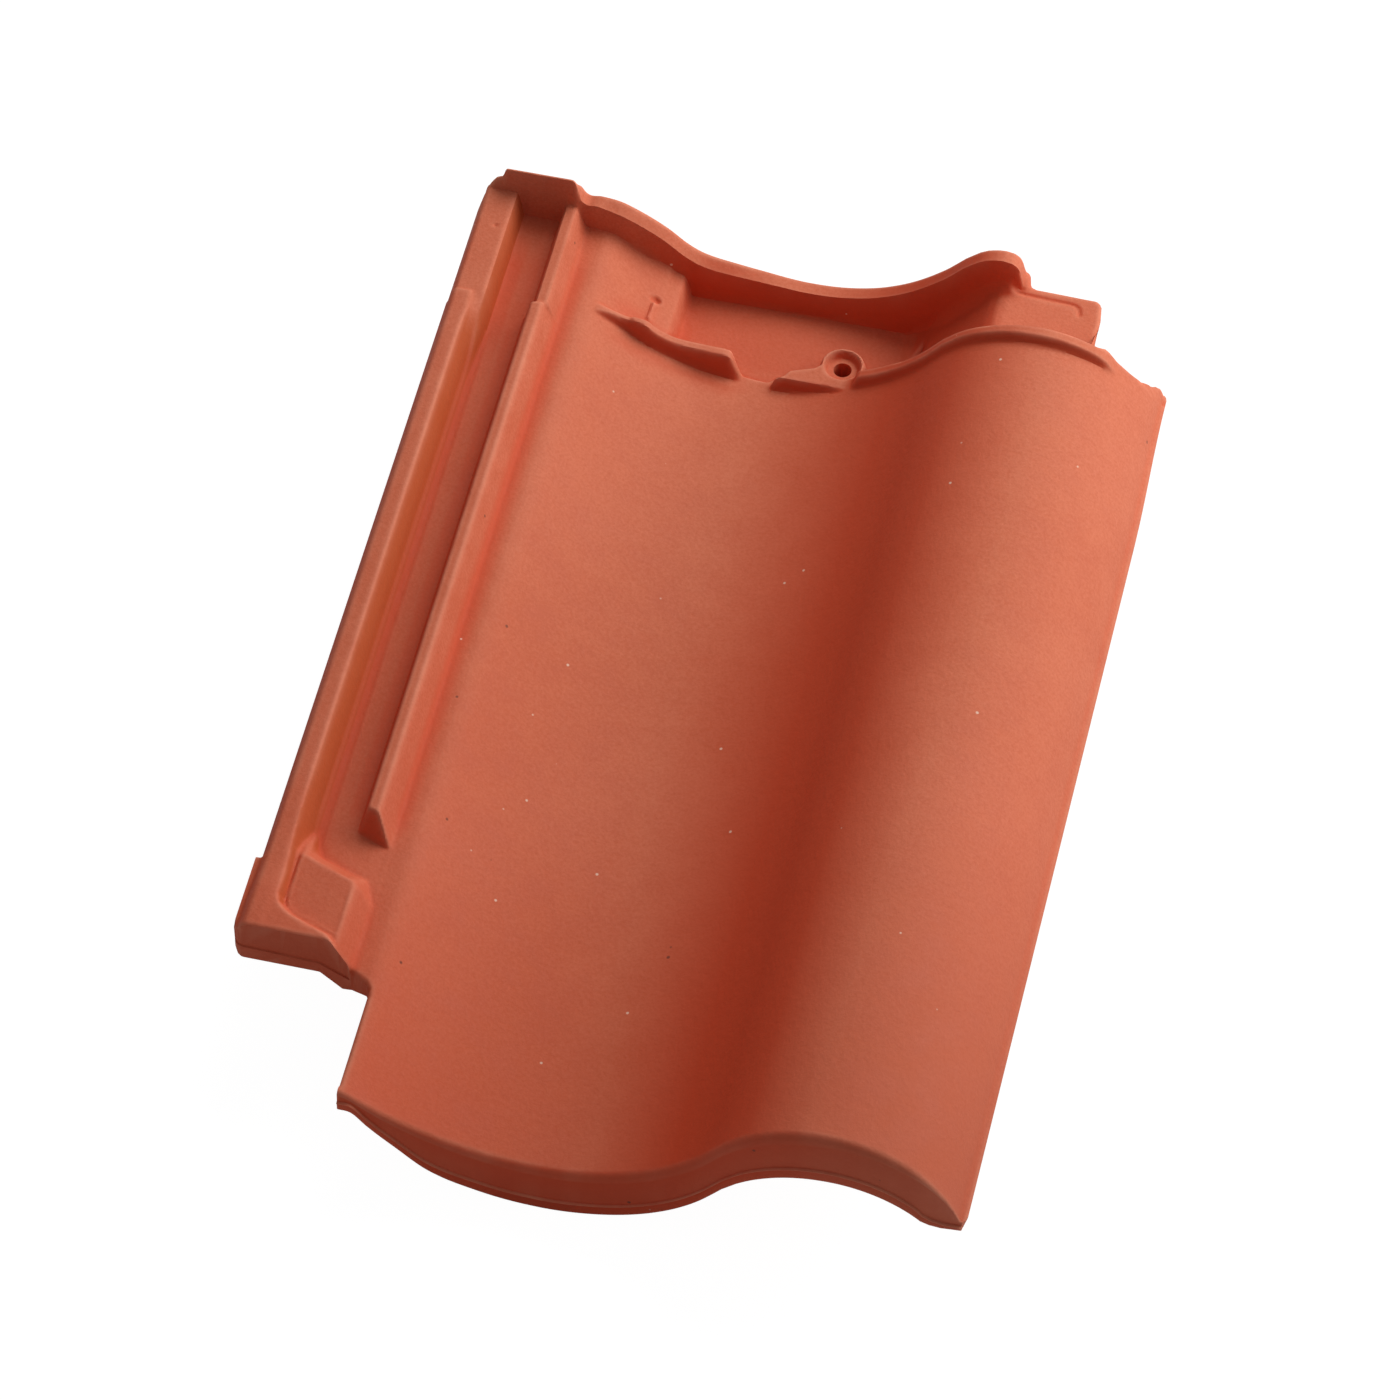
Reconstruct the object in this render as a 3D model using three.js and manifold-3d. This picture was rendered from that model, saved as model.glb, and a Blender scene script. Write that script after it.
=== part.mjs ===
// Interlocking clay pantile, pressed and fired as one piece.
// Millimetres. X runs across the tile (side lock on the left, roll on the right), Y from the tail
// to the head, Z up. The tile lies on its tail nose and its two hanging nibs, with the origin on
// the ground under the middle of its outline.
import * as THREE from 'three';
import { mergeVertices } from 'three/addons/utils/BufferGeometryUtils.js';
import Module from 'manifold-3d';

const wasm = await Module();
wasm.setup();

// ---- Driving dimensions -------------------------------------------------------------------
// Working coordinates: x = 0 and z = 0 near the pan's left edge, y = 0 at the tail's upper edge.
const tailY = -2;                // foot of the tail nose
const headY = 388;               // back of the head
const bodyThickness = 11;        // pan and roll

// The S: a pan of two arcs and a roll of two arcs, all tangent to each other.
const arcLeftX = 2;              // the pan's arc starts here
const panCentreX = 64;
const panBottomZ = -19.4;
const panLeftRadius = 105;
const panRightRadius = 72;
const rollTopZ = 31;
const rollLeftRadius = 47;
const rollRightRadius = 45.5;
const rollFootZ = -5;            // foot of the roll's right wall
const lipZ = -1;                 // small lip outside the roll's foot
const lipFall = 0.4;
const tileRightX = 206.7;

// Tail nose
const noseDepth = 21.6;          // height of the tail's front face
const noseLength = 15;           // how far the nose reaches under the tile
const noseBlend = 12;            // slope from the nose up to the body
const noseRound = 1.2;           // worn upper edge
const nosePart = 7.3;            // height of the parting line over the nose's foot
const nosePartShare = 0.6;       // and no more than this share of the front face
const rollNoseTuck = 1.5;        // the nose's foot stands this far inside the roll

// Notch that clears the head of the tile below
const notchRightX = -4.2;
const notchHeadY = 47.5;
const notchFillet = 10.5;

// Side lock: flange, channel and rib beside a level strip of the pan
const lockLeftX = -51;
const flangeLeftX = -49.8;       // the lock is narrower headward of the step in its side
const sideStepY = 79;
const sideStepRun = 3;
const flangeRightX = -43;
const flangeZ = 17;
const ledgeX = -38.5;            // foot of the flange, with a small ledge over the channel
const ledgeZ = 7.6;
const channelLeftX = -36.6;
const channelRightX = -23.4;
const channelZ = 5.4;
const ribLeftX = -21;
const ribRightX = -17;
const ribZ = 15.6;
const stripLeftX = -11.65;
const stripRightX = -8;
const stripZ = 4.3;
const edgeBevel = 0.5;
const lockThickness = 8;         // under the channel
const flangeThickness = 10.5;
const underStepX = -45.5;        // the underside steps down from the flange to the channel
const underStep = 3.5;
const lockJoinX = 8;             // the lock's underside meets the pan's here

// The lock's tail end: an end wall with a rim, a seat behind it, and the drain mouth
const rimZ = 18.5;
const rimRightX = -19.2;
const rimEdgeY = 51.7;           // these four lie on the seat's right edge
const seatTailY = 53.7;
const seatHeadY = 75.6;
const damFootY = 84.2;
const seatSkew = 0.38;           // the seat's ends run askew to the tile
const damSkew = 0.545;
const seatLeftX = -37.4;
const seatRightX = -17.4;
const seatZ = 14.1;
const seatBorderX = -41.9;       // top of the slope on the seat's left
const ribFootY = 102;            // left foot of the rib's tail end
const ribFootSkew = 0.36;
const ribEndLean = 0.43;         // run of the rib's end face for each millimetre of height
const lipTailY = 62;             // the end wall's deeper foot runs out between these
const lipHeadY = 72;

// Head, measured from its back
const headThickness = 10;
const floorZ = -22.4;            // recess floor
const floorLeftX = 26;
const floorRightX = 105.5;
const floorRise = 2;             // the floor's right edge climbs this much over its last run
const floorRun = 5;
const recessLeftX = 19.5;
const recessLeftZ = -9.9;
const recessBendX = 22.5;
const recessBendZ = -12.6;
const flatZ = 12.2;              // head's right flat, which ends in line with the rib's front
const flatLeftX = 140;
const flatRightX = 177;
const flatBackY = headY - 5.5;
const headRibWidth = 6.8;
const headRibDraft = 0.7;
const humpZ = 22.3;              // right end of the head rib
const humpX = 137;
const humpRightX = 146;
const humpFootX = 147.5;
const headWallZ = 26.5;          // left end of the head rib, behind the channel
const headWallBackZ = 16;
const headWallLeftX = -42.9;
const headWallStepX = -46;
const headWallStepZ = 21.5;
const headWallRightX = -16.9;
const headWallFootX = -13.7;
const wallRidgeY = headY - 4.6;
const flangeStepY = headY - 58;  // headward of these the flange and the rib are lower
const flangeStepRun = 2;
const ribStepY = headY - 54.6;
const ribStepRun = 1;
const headFlangeZ = 16.6;
const headFlangeRightX = -37.3;
const headRibZ = 14.4;
const lockMiddleX = -30;

// Weather rib in front of the recess, with its drain gap
const weatherY = headY - 44.5;
const weatherRise = 4.2;
const weatherDraft = 1.5;
const weatherLeftX = -2;
const weatherFullX = 24;
const drainLeftX = 53;
const drainRightX = 64.5;
const drainDraft = 2.5;
const weatherRightX = 186;
const weatherRunOut = 8;
const rollEndY = headY - 37;     // the roll's closed head end
const rollEndWall = 9;
const rollEndDraft = 1.5;
const recessLead = 2;            // the recess starts this much tailward of the roll's end

// Nail hole
const nailX = 88;
const nailY = headY - 33;
const nailBore = 6.4;
const nailSeat = 11.5;           // diameter of the sunk seat
const nailSeatDepth = 2.5;
const nailBoss = 15.2;
const nailBossRise = 7.5;        // above the recess floor
const nailBossDraft = 0.8;

// Hanging nibs under the head: the nail goes into the batten that they hook over
const nibCentres = [28, 110];
const nibWidth = 26;
const nibTailY = headY - 19;
const nibLength = 14;
const nibDraft = 2;

// How finely the curves are divided
const arcStep = 0.15;            // radians
const discSides = 28;
const leastStationX = 0.3;
const margin = 5;                // cutting shapes reach this far past the tile

// Fired clay
const clayColour = 0xc4583b;

// ---- The S ---------------------------------------------------------------------------------
const panArcZ = panBottomZ + panRightRadius;
const rollArcZ = rollTopZ - rollLeftRadius;
const radiusSum = panRightRadius + rollLeftRadius;
const rollCentreX = panCentreX + Math.sqrt(radiusSum ** 2 - (panArcZ - rollArcZ) ** 2);
const tangentX = panCentreX + (rollCentreX - panCentreX) * panRightRadius / radiusSum;
const rollRightArcZ = rollTopZ - rollRightRadius;
const rollRightX = rollCentreX + Math.sqrt(rollRightRadius ** 2 - (lipZ - rollRightArcZ) ** 2);

// Each arc: centre, radius, side on which it bulges (1 up, -1 down) and where it ends.
const arcsOfS = [
  { cx: panCentreX, cz: panBottomZ + panLeftRadius, radius: panLeftRadius, bulge: -1, end: panCentreX },
  { cx: panCentreX, cz: panArcZ, radius: panRightRadius, bulge: -1, end: tangentX },
  { cx: rollCentreX, cz: rollArcZ, radius: rollLeftRadius, bulge: 1, end: rollCentreX },
  { cx: rollCentreX, cz: rollRightArcZ, radius: rollRightRadius, bulge: 1, end: rollRightX },
];

// Point of the S at x: its height and its upward normal.
function pointOfS(x) {
  const arc = arcsOfS.find(({ end }) => x <= end) ?? arcsOfS.at(-1);
  const sine = Math.max(-1, Math.min(1, (x - arc.cx) / arc.radius));
  const cosine = Math.sqrt(1 - sine ** 2);
  return { z: arc.cz + arc.bulge * arc.radius * cosine, nx: arc.bulge * sine, nz: cosine };
}

const heightOfS = (x) => pointOfS(x).z;

// ---- Ramps and lines -------------------------------------------------------------------------
const clamp = (t, from, to) => Math.max(from, Math.min(to, t));
const ramp = (t, from, to) => clamp((t - from) / (to - from), 0, 1);
const mix = (a, b, share) => a + (b - a) * share;

// Height at x on a line of points [x, z].
function along(line, x) {
  const k = line.findIndex(([px]) => px >= x);
  if (k === 0) return line[0][1];
  if (k < 0) return line.at(-1)[1];
  const [[x0, z0], [x1, z1]] = [line[k - 1], line[k]];
  return mix(z0, z1, (x - x0) / (x1 - x0));
}

// ---- Side lock, seen from above ----------------------------------------------------------------
// Every line runs from the flange's outer edge to the start of the pan's arc.
const strip = [
  [stripLeftX, stripZ],
  [stripRightX, stripZ],
  [mix(stripRightX, arcLeftX, 0.55), stripZ - 0.7],
  [arcLeftX, heightOfS(arcLeftX)],
];
const flange = [
  [lockLeftX, flangeZ - 1.2],
  [lockLeftX + 2.2, flangeZ],
  [flangeRightX, flangeZ + 0.4],
];
const flangeFoot = [
  [flangeRightX + 1.6, flangeZ - 1],
  [ledgeX, ledgeZ],
  [channelLeftX - edgeBevel, ledgeZ - 0.9],
  [channelLeftX, channelZ],
];
const channelLine = [
  ...flange,
  ...flangeFoot,
  [channelRightX, channelZ],
  [ribLeftX - edgeBevel, ribZ - edgeBevel],
  [ribLeftX, ribZ],
  [ribRightX, ribZ],
  [ribRightX + edgeBevel, ribZ - edgeBevel],
  ...strip,
];
const mouthLine = [...flange, ...flangeFoot, [channelRightX, channelZ], ...strip];
const seatLine = [
  ...flange,
  [seatBorderX, flangeZ + 0.4],
  [seatLeftX, seatZ],
  [seatRightX, seatZ],
  ...strip,
];
const rimLine = [
  [lockLeftX, rimZ - 1.2],
  [lockLeftX + 2.2, rimZ],
  [rimRightX, rimZ],
  ...strip,
];
const headLockLine = [
  [lockLeftX, headFlangeZ - 1.2],
  [lockLeftX + 2.2, headFlangeZ],
  [headFlangeRightX, headFlangeZ],
  [headFlangeRightX + edgeBevel, headFlangeZ - 1],
  [headFlangeRightX + 1.4, channelZ + 3],
  [headFlangeRightX + 3.7, channelZ],
  [channelRightX + 1.4, channelZ],
  [ribLeftX + 1.1, headRibZ - edgeBevel],
  [ribLeftX + 1.5, headRibZ],
  [ribRightX + 1.2, headRibZ],
  [ribRightX + 1.7, headRibZ - edgeBevel],
  ...strip,
];

// Lines across the lock that run askew: y at x, given where they cross the seat's right edge.
const askew = (y, skew, left, right) => (x) => y - skew * (clamp(x, left, right) - seatRightX);
const straight = (y) => () => y;
const rimEdge = askew(rimEdgeY, seatSkew, seatLeftX, stripLeftX);
const seatTail = askew(seatTailY, seatSkew, seatLeftX, stripLeftX);
const seatHead = askew(seatHeadY, seatSkew, seatLeftX, stripLeftX);
const damFoot = askew(damFootY, damSkew, seatLeftX, stripLeftX);
const ribCrossY = ribFootY + ribFootSkew * (channelRightX - seatRightX);
const ribFoot = askew(ribCrossY, ribFootSkew, channelRightX, stripLeftX);
const ribRise = (x) => Math.max(1, along(channelLine, x) - along(mouthLine, x));
const ribTop = (x) => ribFoot(x) + ribEndLean * ribRise(x);

function lockHeight(x, y) {
  let z = mix(along(seatLine, x), along(mouthLine, x), ramp(y, seatHead(x), damFoot(x)));
  z = mix(along(rimLine, x), z, ramp(y, rimEdge(x), seatTail(x)));
  z = mix(z, along(channelLine, x), ramp(y, ribFoot(x), ribTop(x)));
  const step = x < lockMiddleX
    ? ramp(y, flangeStepY, flangeStepY + flangeStepRun)
    : ramp(y, ribStepY, ribStepY + ribStepRun);
  return mix(z, along(headLockLine, x), step);
}

// ---- Upper side, seen from above --------------------------------------------------------------
const restZ = panBottomZ - noseDepth;
const lip = [[rollRightX, lipZ], [tileRightX, lipZ - lipFall]];

function sheet(x, y) {
  if (x < arcLeftX) return lockHeight(x, y);
  return x > rollRightX ? along(lip, x) : heightOfS(x);
}

// Recess of the head: the pan's arc drops to a level floor, which climbs to the flat on the right.
const recessLine = [
  [recessLeftX, recessLeftZ],
  [recessBendX, recessBendZ],
  [floorLeftX, floorZ],
  [floorRightX, floorZ],
  [floorRightX + floorRun, floorZ + floorRise],
  [flatLeftX, flatZ],
  [flatRightX, flatZ],
];
const recess = (x, y) => (x < recessLeftX ? sheet(x, y) : along(recessLine, x));

// Crest of the head rib, from the wall behind the channel to the hump beside the flat.
const headRibLine = [
  [headWallStepX, headWallStepZ],
  [headWallLeftX - edgeBevel, headWallStepZ],
  [headWallLeftX, headWallZ],
  [headWallRightX, headWallZ],
  [headWallFootX, headWallBackZ],
  [-7.9, 15.6],
  [0, 14.2],
  [9.4, 9.2],
  [23.6, -2],
  [33.6, -6.8],
  [51, -9.8],
  [68, -11.9],
  [84, -10.7],
  [96, -7.1],
  [108, -0.3],
  [118, 8.2],
  [129.4, 19.9],
  [humpX, humpZ],
  [humpRightX - 3, humpZ - 1.7],
  [humpRightX, humpZ - 7.5],
  [humpFootX, flatZ],
];
const headRibY = headY - headRibWidth;

// The wall behind the channel is a thin ridge that slopes down to the back.
function headCrest(x, y) {
  const back = ramp(y, wallRidgeY, headY) * (1 - ramp(x, headWallRightX, headWallFootX));
  const crest = along(headRibLine, x);
  return mix(crest, Math.min(crest, headWallBackZ), back);
}

function upper(x, y) {
  let z = sheet(x, y);

  // Weather rib, and the drain gap through it.
  const runOut = ramp(x, weatherRightX - weatherRunOut, weatherRightX);
  const start = ramp(x, weatherLeftX, weatherFullX) * (1 - runOut);
  const gap = ramp(x, drainLeftX - drainDraft, drainLeftX)
    * (1 - ramp(x, drainRightX, drainRightX + drainDraft));
  z += weatherRise * start * (1 - gap) * ramp(y, weatherY, weatherY + weatherDraft);

  // Recess behind the weather rib.
  const lead = x < floorRightX ? recessLead : 0;
  const inside = ramp(y, rollEndY - lead, rollEndY + rollEndDraft) * (x > stripLeftX ? 1 : 0);
  z = mix(z, recess(x, y), inside);

  // Head rib, and its left end behind the channel.
  const onRib = x >= headWallStepX && x <= humpFootX;
  return onRib ? Math.max(z, mix(z, headCrest(x, y), ramp(y, headRibY, headRibY + headRibDraft))) : z;
}

// ---- Underside ---------------------------------------------------------------------------------
const panShell = (x) => heightOfS(x) - bodyThickness / pointOfS(x).nz;
const lockUnder = [
  [lockLeftX, flangeZ - flangeThickness],
  [underStepX, flangeZ - flangeThickness],
  [underStepX + underStep, channelZ - lockThickness],
  [ribLeftX, channelZ - lockThickness],
  [stripLeftX, stripZ - bodyThickness],
  [notchRightX, stripZ - bodyThickness],
  [lockJoinX, panShell(lockJoinX)],
];
const endWallUnder = [
  [lockLeftX, -0.4],
  [channelRightX, -0.4],
  [-18.3, -5],
  [-15.5, -7.8],
  [stripLeftX, -6.8],
  [notchRightX, stripZ - bodyThickness],
  [lockJoinX, panShell(lockJoinX)],
];

// Foot of the tail nose: it comes up to the notch on the left, and follows the S on the right.
const noseLine = [
  [notchRightX, -5],
  [0.3, -5.8],
  [5.1, -11.8],
  [24.9, -31.4],
  [30, -34.1],
  [40, -37.5],
  [50, -40],
  [60, restZ],
  [panCentreX, restZ],
];

function noseFoot(x) {
  if (x < panCentreX) return along(noseLine, x);
  return Math.max(heightOfS(x) - noseDepth, x > rollCentreX ? rollFootZ : restZ);
}

function lower(x, y) {
  if (x === tileRightX) return [x, rollFootZ];
  const { z, nx, nz } = pointOfS(x);
  const nose = 1 - ramp(y, noseLength, noseLength + noseBlend);
  const head = ramp(y, rollEndY - rollEndWall - 1, rollEndY - rollEndWall);
  const overPan = x < panCentreX;
  const lockShell = mix(along(endWallUnder, x), along(lockUnder, x), ramp(y, lipTailY, lipHeadY));
  const rollShell = x === rollRightX ? rollFootZ : z - bodyThickness * nz;
  const panOrRoll = overPan ? panShell(x) : Math.max(rollShell, x > rollCentreX ? rollFootZ : restZ);
  const shell = x < lockJoinX ? lockShell : panOrRoll;
  let under = mix(shell, noseFoot(x), nose);
  let shift = mix(overPan ? 0 : bodyThickness * nx, x > rollCentreX ? rollNoseTuck * nx : 0, nose);
  if (x > recessLeftX && x <= flatRightX) {
    under = mix(under, Math.min(under, along(recessLine, x) - headThickness), head);
  }
  shift = mix(shift, Math.min(shift, Math.max(0, x - flatRightX) * nz), head);
  return [x - shift, under];
}

// ---- Solids ----------------------------------------------------------------------------------
function toManifold(geometry) {
  return new wasm.Manifold(new wasm.Mesh({
    numProp: 3,
    vertProperties: new Float32Array(geometry.attributes.position.array),
    triVerts: new Uint32Array(geometry.index.array),
  }));
}

// A three.js solid keeps one vertex at each corner once its normals and uvs are gone.
function fromShape(geometry) {
  geometry.deleteAttribute('normal');
  geometry.deleteAttribute('uv');
  return toManifold(mergeVertices(geometry, 1e-4));
}

// A solid through sections that stand one behind the other from the tail to the head. Each has a
// lower and an upper line of as many points [x, y, z], both from left to right.
function loft(sections) {
  const width = sections[0].lower.length;
  const count = 2 * width;
  const index = [];
  const quad = (a, b, c, d) => index.push(a, b, c, a, c, d);
  for (let s = 0; s + 1 < sections.length; s++) {
    for (let i = 0; i < count; i++) {
      const j = (i + 1) % count;
      quad(s * count + i, (s + 1) * count + i, (s + 1) * count + j, s * count + j);
    }
  }
  const last = (sections.length - 1) * count;
  for (let i = 0; i + 1 < width; i++) {
    const [a, b, c, d] = [i, i + 1, count - 2 - i, count - 1 - i];
    quad(a, b, c, d);
    quad(last + a, last + d, last + c, last + b);
  }
  const points = sections.flatMap(({ lower: under, upper: over }) => [...under, ...over.toReversed()]);
  const geometry = new THREE.BufferGeometry();
  geometry.setAttribute('position', new THREE.Float32BufferAttribute(points.flat(), 3));
  geometry.setIndex(index);
  return toManifold(geometry);
}

// An upright prism over a plan outline [x, y].
function upright(plan, z0, z1) {
  const shape = new THREE.Shape(plan.map(([x, y]) => new THREE.Vector2(x, y)));
  const geometry = new THREE.ExtrudeGeometry(shape, { depth: z1 - z0, bevelEnabled: false });
  geometry.translate(0, 0, z0);
  return fromShape(geometry);
}

function disc(x, y, z0, z1, radius, topRadius = radius) {
  const geometry = new THREE.CylinderGeometry(topRadius, radius, z1 - z0, discSides);
  geometry.rotateX(Math.PI / 2);
  geometry.translate(x, y, (z0 + z1) / 2);
  return fromShape(geometry);
}

// Numbers in order, without those that nearly repeat the one before.
function spaced(values, least) {
  const kept = [];
  for (const v of values.toSorted((a, b) => a - b)) {
    if (kept.length === 0 || v - kept.at(-1) > least) kept.push(v);
  }
  return kept;
}

// Stations across the tile: the bends of the lines above, and equal angles round each arc.
function stationsX() {
  const lockLines = [channelLine, seatLine, rimLine, headLockLine, lockUnder, endWallUnder];
  const bends = [...lockLines, recessLine, headRibLine, noseLine].flat().map(([x]) => x);
  bends.push(headWallStepX - edgeBevel, lockMiddleX, stripLeftX + edgeBevel, weatherFullX);
  bends.push(drainLeftX - drainDraft, drainLeftX, drainRightX, drainRightX + drainDraft);
  bends.push(floorRightX - edgeBevel, flatRightX + edgeBevel, weatherRightX - weatherRunOut, weatherRightX);
  let from = arcLeftX;
  for (const { cx, radius, end } of arcsOfS) {
    const a0 = Math.asin((from - cx) / radius);
    const a1 = Math.asin((end - cx) / radius);
    const count = Math.ceil((a1 - a0) / arcStep);
    for (let i = 0; i < count; i++) bends.push(cx + radius * Math.sin(a0 + (a1 - a0) * i / count));
    from = end;
  }
  return [...spaced(bends, leastStationX), rollRightX, tileRightX];
}

// Rows from the tail to the head: y as a function of x.
const rows = [
  ...[0, noseRound, noseLength, noseLength + noseBlend, notchHeadY - notchFillet].map(straight),
  rimEdge,
  seatTail,
  straight(lipTailY),
  straight(lipHeadY),
  seatHead,
  damFoot,
  ribFoot,
  ribTop,
  ...[
    flangeStepY, flangeStepY + flangeStepRun, ribStepY, ribStepY + ribStepRun,
    rollEndY - rollEndWall - 1, rollEndY - rollEndWall, weatherY, weatherY + weatherDraft,
    rollEndY - recessLead, rollEndY, rollEndY + rollEndDraft,
    headRibY, headRibY + headRibDraft, wallRidgeY, headY,
  ].map(straight),
];

function makeSheet() {
  const xs = stationsX();
  const onTop = (x, y, sink = 0) => [x, y, upper(x, y) - sink];
  const below = (x, y) => {
    const [lx, lz] = lower(x, y);
    return [lx, y, lz];
  };
  const section = (row) => ({
    lower: xs.map((x) => below(x, row(x))),
    upper: xs.map((x) => onTop(x, row(x), row(x) === 0 ? noseRound : 0)),
  });

  // The tail's front face leans out from the upper edge to the parting line, and is upright below.
  const partZ = (x, z) => Math.min(z + nosePart, mix(z, upper(x, 0), nosePartShare));
  const foot = {
    lower: xs.map((x) => below(x, 0)).map(([x, , z]) => [x, tailY, z]),
    upper: xs.map((x) => [x, tailY, partZ(x, lower(x, 0)[1])]),
  };
  return loft([foot, ...rows.map(section)]);
}

// ---- Cuts and added pieces ------------------------------------------------------------------------
const low = panBottomZ - 2 * noseDepth;
const high = rollTopZ + noseDepth;
const leftX = lockLeftX - margin;
const rightX = tileRightX + margin;
const behindY = headY + margin;

// Notch at the tail's left corner, with a rounded inner corner.
function notch() {
  const plan = [[leftX, tailY - margin], [notchRightX, tailY - margin],
    [notchRightX, notchHeadY - notchFillet]];
  for (let i = 1; i <= 5; i++) {
    const a = i / 5 * Math.PI / 2;
    plan.push([notchRightX - notchFillet * (1 - Math.cos(a)), notchHeadY - notchFillet * (1 - Math.sin(a))]);
  }
  plan.push([leftX, notchHeadY]);
  return upright(plan, low, high);
}

// The side lock is narrower from here to the head.
const sideStep = () => upright([[leftX, sideStepY - sideStepRun], [lockLeftX, sideStepY - sideStepRun],
  [flangeLeftX, sideStepY], [flangeLeftX, behindY], [leftX, behindY]], low, high);

// Corner behind the roll's end, where the neighbour's lock passes, and the flat's back edge.
const headCorner = () => upright([[flatRightX, rollEndY], [rightX, rollEndY], [rightX, behindY],
  [humpFootX, behindY], [humpFootX, flatBackY], [flatRightX, flatBackY]], low, high);

// A hanging nib: its tail face bears on the batten, its foot is level with the nose, and its root
// follows the head.
function nib(x) {
  const acrossNib = [-1, -0.5, 0, 0.5, 1].map((side) => side * nibWidth / 2);
  const side = (y, draftY) => ({
    lower: acrossNib.map((dx) => [x + dx * (1 - 2 * nibDraft / nibWidth), y + draftY, restZ]),
    upper: acrossNib.map((dx) => [x + dx, y, recess(x + dx, y) - headThickness / 2]),
  });
  return loft([side(nibTailY, 0), side(nibTailY + nibLength, -nibDraft)]);
}

function makeTile() {
  let tile = makeSheet();
  for (const cut of [notch(), sideStep(), headCorner()]) tile = tile.subtract(cut);
  for (const x of nibCentres) tile = tile.add(nib(x));
  const bossTop = floorZ + nailBossRise;
  const bossRoot = floorZ - headThickness / 2;
  tile = tile.add(disc(nailX, nailY, bossRoot, bossTop, nailBoss / 2, nailBoss / 2 - nailBossDraft));
  tile = tile.subtract(disc(nailX, nailY, bossTop - nailSeatDepth, high, nailSeat / 2));
  return tile.subtract(disc(nailX, nailY, low, high, nailBore / 2));
}

// ---- The mesh ------------------------------------------------------------------------------------
function toGeometry(solid) {
  const mesh = solid.getMesh();
  const geometry = new THREE.BufferGeometry();
  geometry.setAttribute('position', new THREE.BufferAttribute(mesh.vertProperties, 3));
  geometry.setIndex(new THREE.BufferAttribute(mesh.triVerts, 1));
  geometry.computeVertexNormals();
  return geometry;
}

const clay = new THREE.MeshStandardMaterial({ color: clayColour, roughness: 0.85, metalness: 0 });
const tile = new THREE.Mesh(toGeometry(makeTile()), clay);
tile.name = 'roof_tile';
tile.position.set(-(lockLeftX + tileRightX) / 2, -(tailY + headY) / 2, -restZ);

const group = new THREE.Group();
group.add(tile);

export default group;
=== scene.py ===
import bpy
import bmesh
import math
import numpy as np
from mathutils import Matrix, Vector


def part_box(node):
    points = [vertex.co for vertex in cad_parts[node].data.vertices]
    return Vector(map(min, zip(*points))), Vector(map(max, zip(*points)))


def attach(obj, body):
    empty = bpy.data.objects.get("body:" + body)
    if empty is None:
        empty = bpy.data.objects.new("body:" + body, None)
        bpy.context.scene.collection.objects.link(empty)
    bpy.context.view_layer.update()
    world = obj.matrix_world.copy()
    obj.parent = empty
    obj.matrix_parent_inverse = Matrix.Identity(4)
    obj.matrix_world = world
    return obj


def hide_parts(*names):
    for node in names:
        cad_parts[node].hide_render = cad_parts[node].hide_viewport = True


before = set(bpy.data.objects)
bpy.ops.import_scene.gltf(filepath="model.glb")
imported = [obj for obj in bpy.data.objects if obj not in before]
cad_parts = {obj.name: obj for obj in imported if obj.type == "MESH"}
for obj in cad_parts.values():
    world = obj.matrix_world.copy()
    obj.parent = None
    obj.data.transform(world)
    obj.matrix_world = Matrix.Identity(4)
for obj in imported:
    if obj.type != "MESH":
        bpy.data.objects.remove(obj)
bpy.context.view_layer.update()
print("frame loaded")

# All shapes are written in millimetres on the mould: x from the side lock to the roll, y from the
# tail to the head, z up, zero near the pan's left edge. The solid's box says where that lies.
# A pair of numbers in the settings is mostly a start and an end, between which something fades.
perMetre = 1000
tileLow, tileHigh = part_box("roof_tile")

body = {
    "left": -51.0,
    "side": -52.6,           # the lock's outer side leans out to here
    "right": 206.7,
    "tail": -2.0,
    "head": 388.0,
    "nosetip": -41.0,        # lowest point of the tail's nose
    "thickness": 11.0,
    "panX": 64.0,
    "panBottom": -19.4,
    "panLeftRadius": 105.0,
    "panRightRadius": 72.0,
    "rollTop": 31.0,
    "rollLeftRadius": 47.0,
    "rollRightRadius": 45.5,
    "lipX": 204.6,           # the roll's right foot ends in a small lip
    "lipTop": -1.0,
    "lipSlope": 0.2,
    "footZ": -5.0,
    "creaseX": -11.6,        # the lock begins here
    "shoulder": 4.3,         # the pan's left side flattens out at this height
    "shoulderBlend": 3.0,
    "rounding": 0.5,         # every moulded edge is softened by this much
    "edgeRound": 1.3,        # the outline's upper edge
    "wallRound": 2.0,        # the lock's tail wall
    "narrowing": 1.4,        # the roll's right side steps in towards the head
    "narrowingX": (200, 206),
    "narrowingY": (288, 350),
    "smoothAngle": 38,       # edges sharper than this stay sharp, in degrees
}

panArcZ = body["panBottom"] + body["panRightRadius"]
rollArcZ = body["rollTop"] - body["rollLeftRadius"]
rollRightArcZ = body["rollTop"] - body["rollRightRadius"]
arcSum = body["panRightRadius"] + body["rollLeftRadius"]
rollX = body["panX"] + math.sqrt(arcSum ** 2 - (panArcZ - rollArcZ) ** 2)
tangentX = body["panX"] + (rollX - body["panX"]) * body["panRightRadius"] / arcSum
origin = (
    (tileLow[0] + tileHigh[0]) * perMetre / 2 - (body["left"] + body["right"]) / 2,
    tileLow[1] * perMetre - body["tail"],
    tileLow[2] * perMetre - body["nosetip"],
)


def toRow(points):           # mould millimetres to row metres
    return (np.asarray(points, float) + origin) / perMetre


def ramp(t, a, b):
    return np.clip((t - a) / (b - a), 0, 1)


def ease(t, a, b):
    s = ramp(t, a, b)
    return s * s * (3 - 2 * s)


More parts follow.
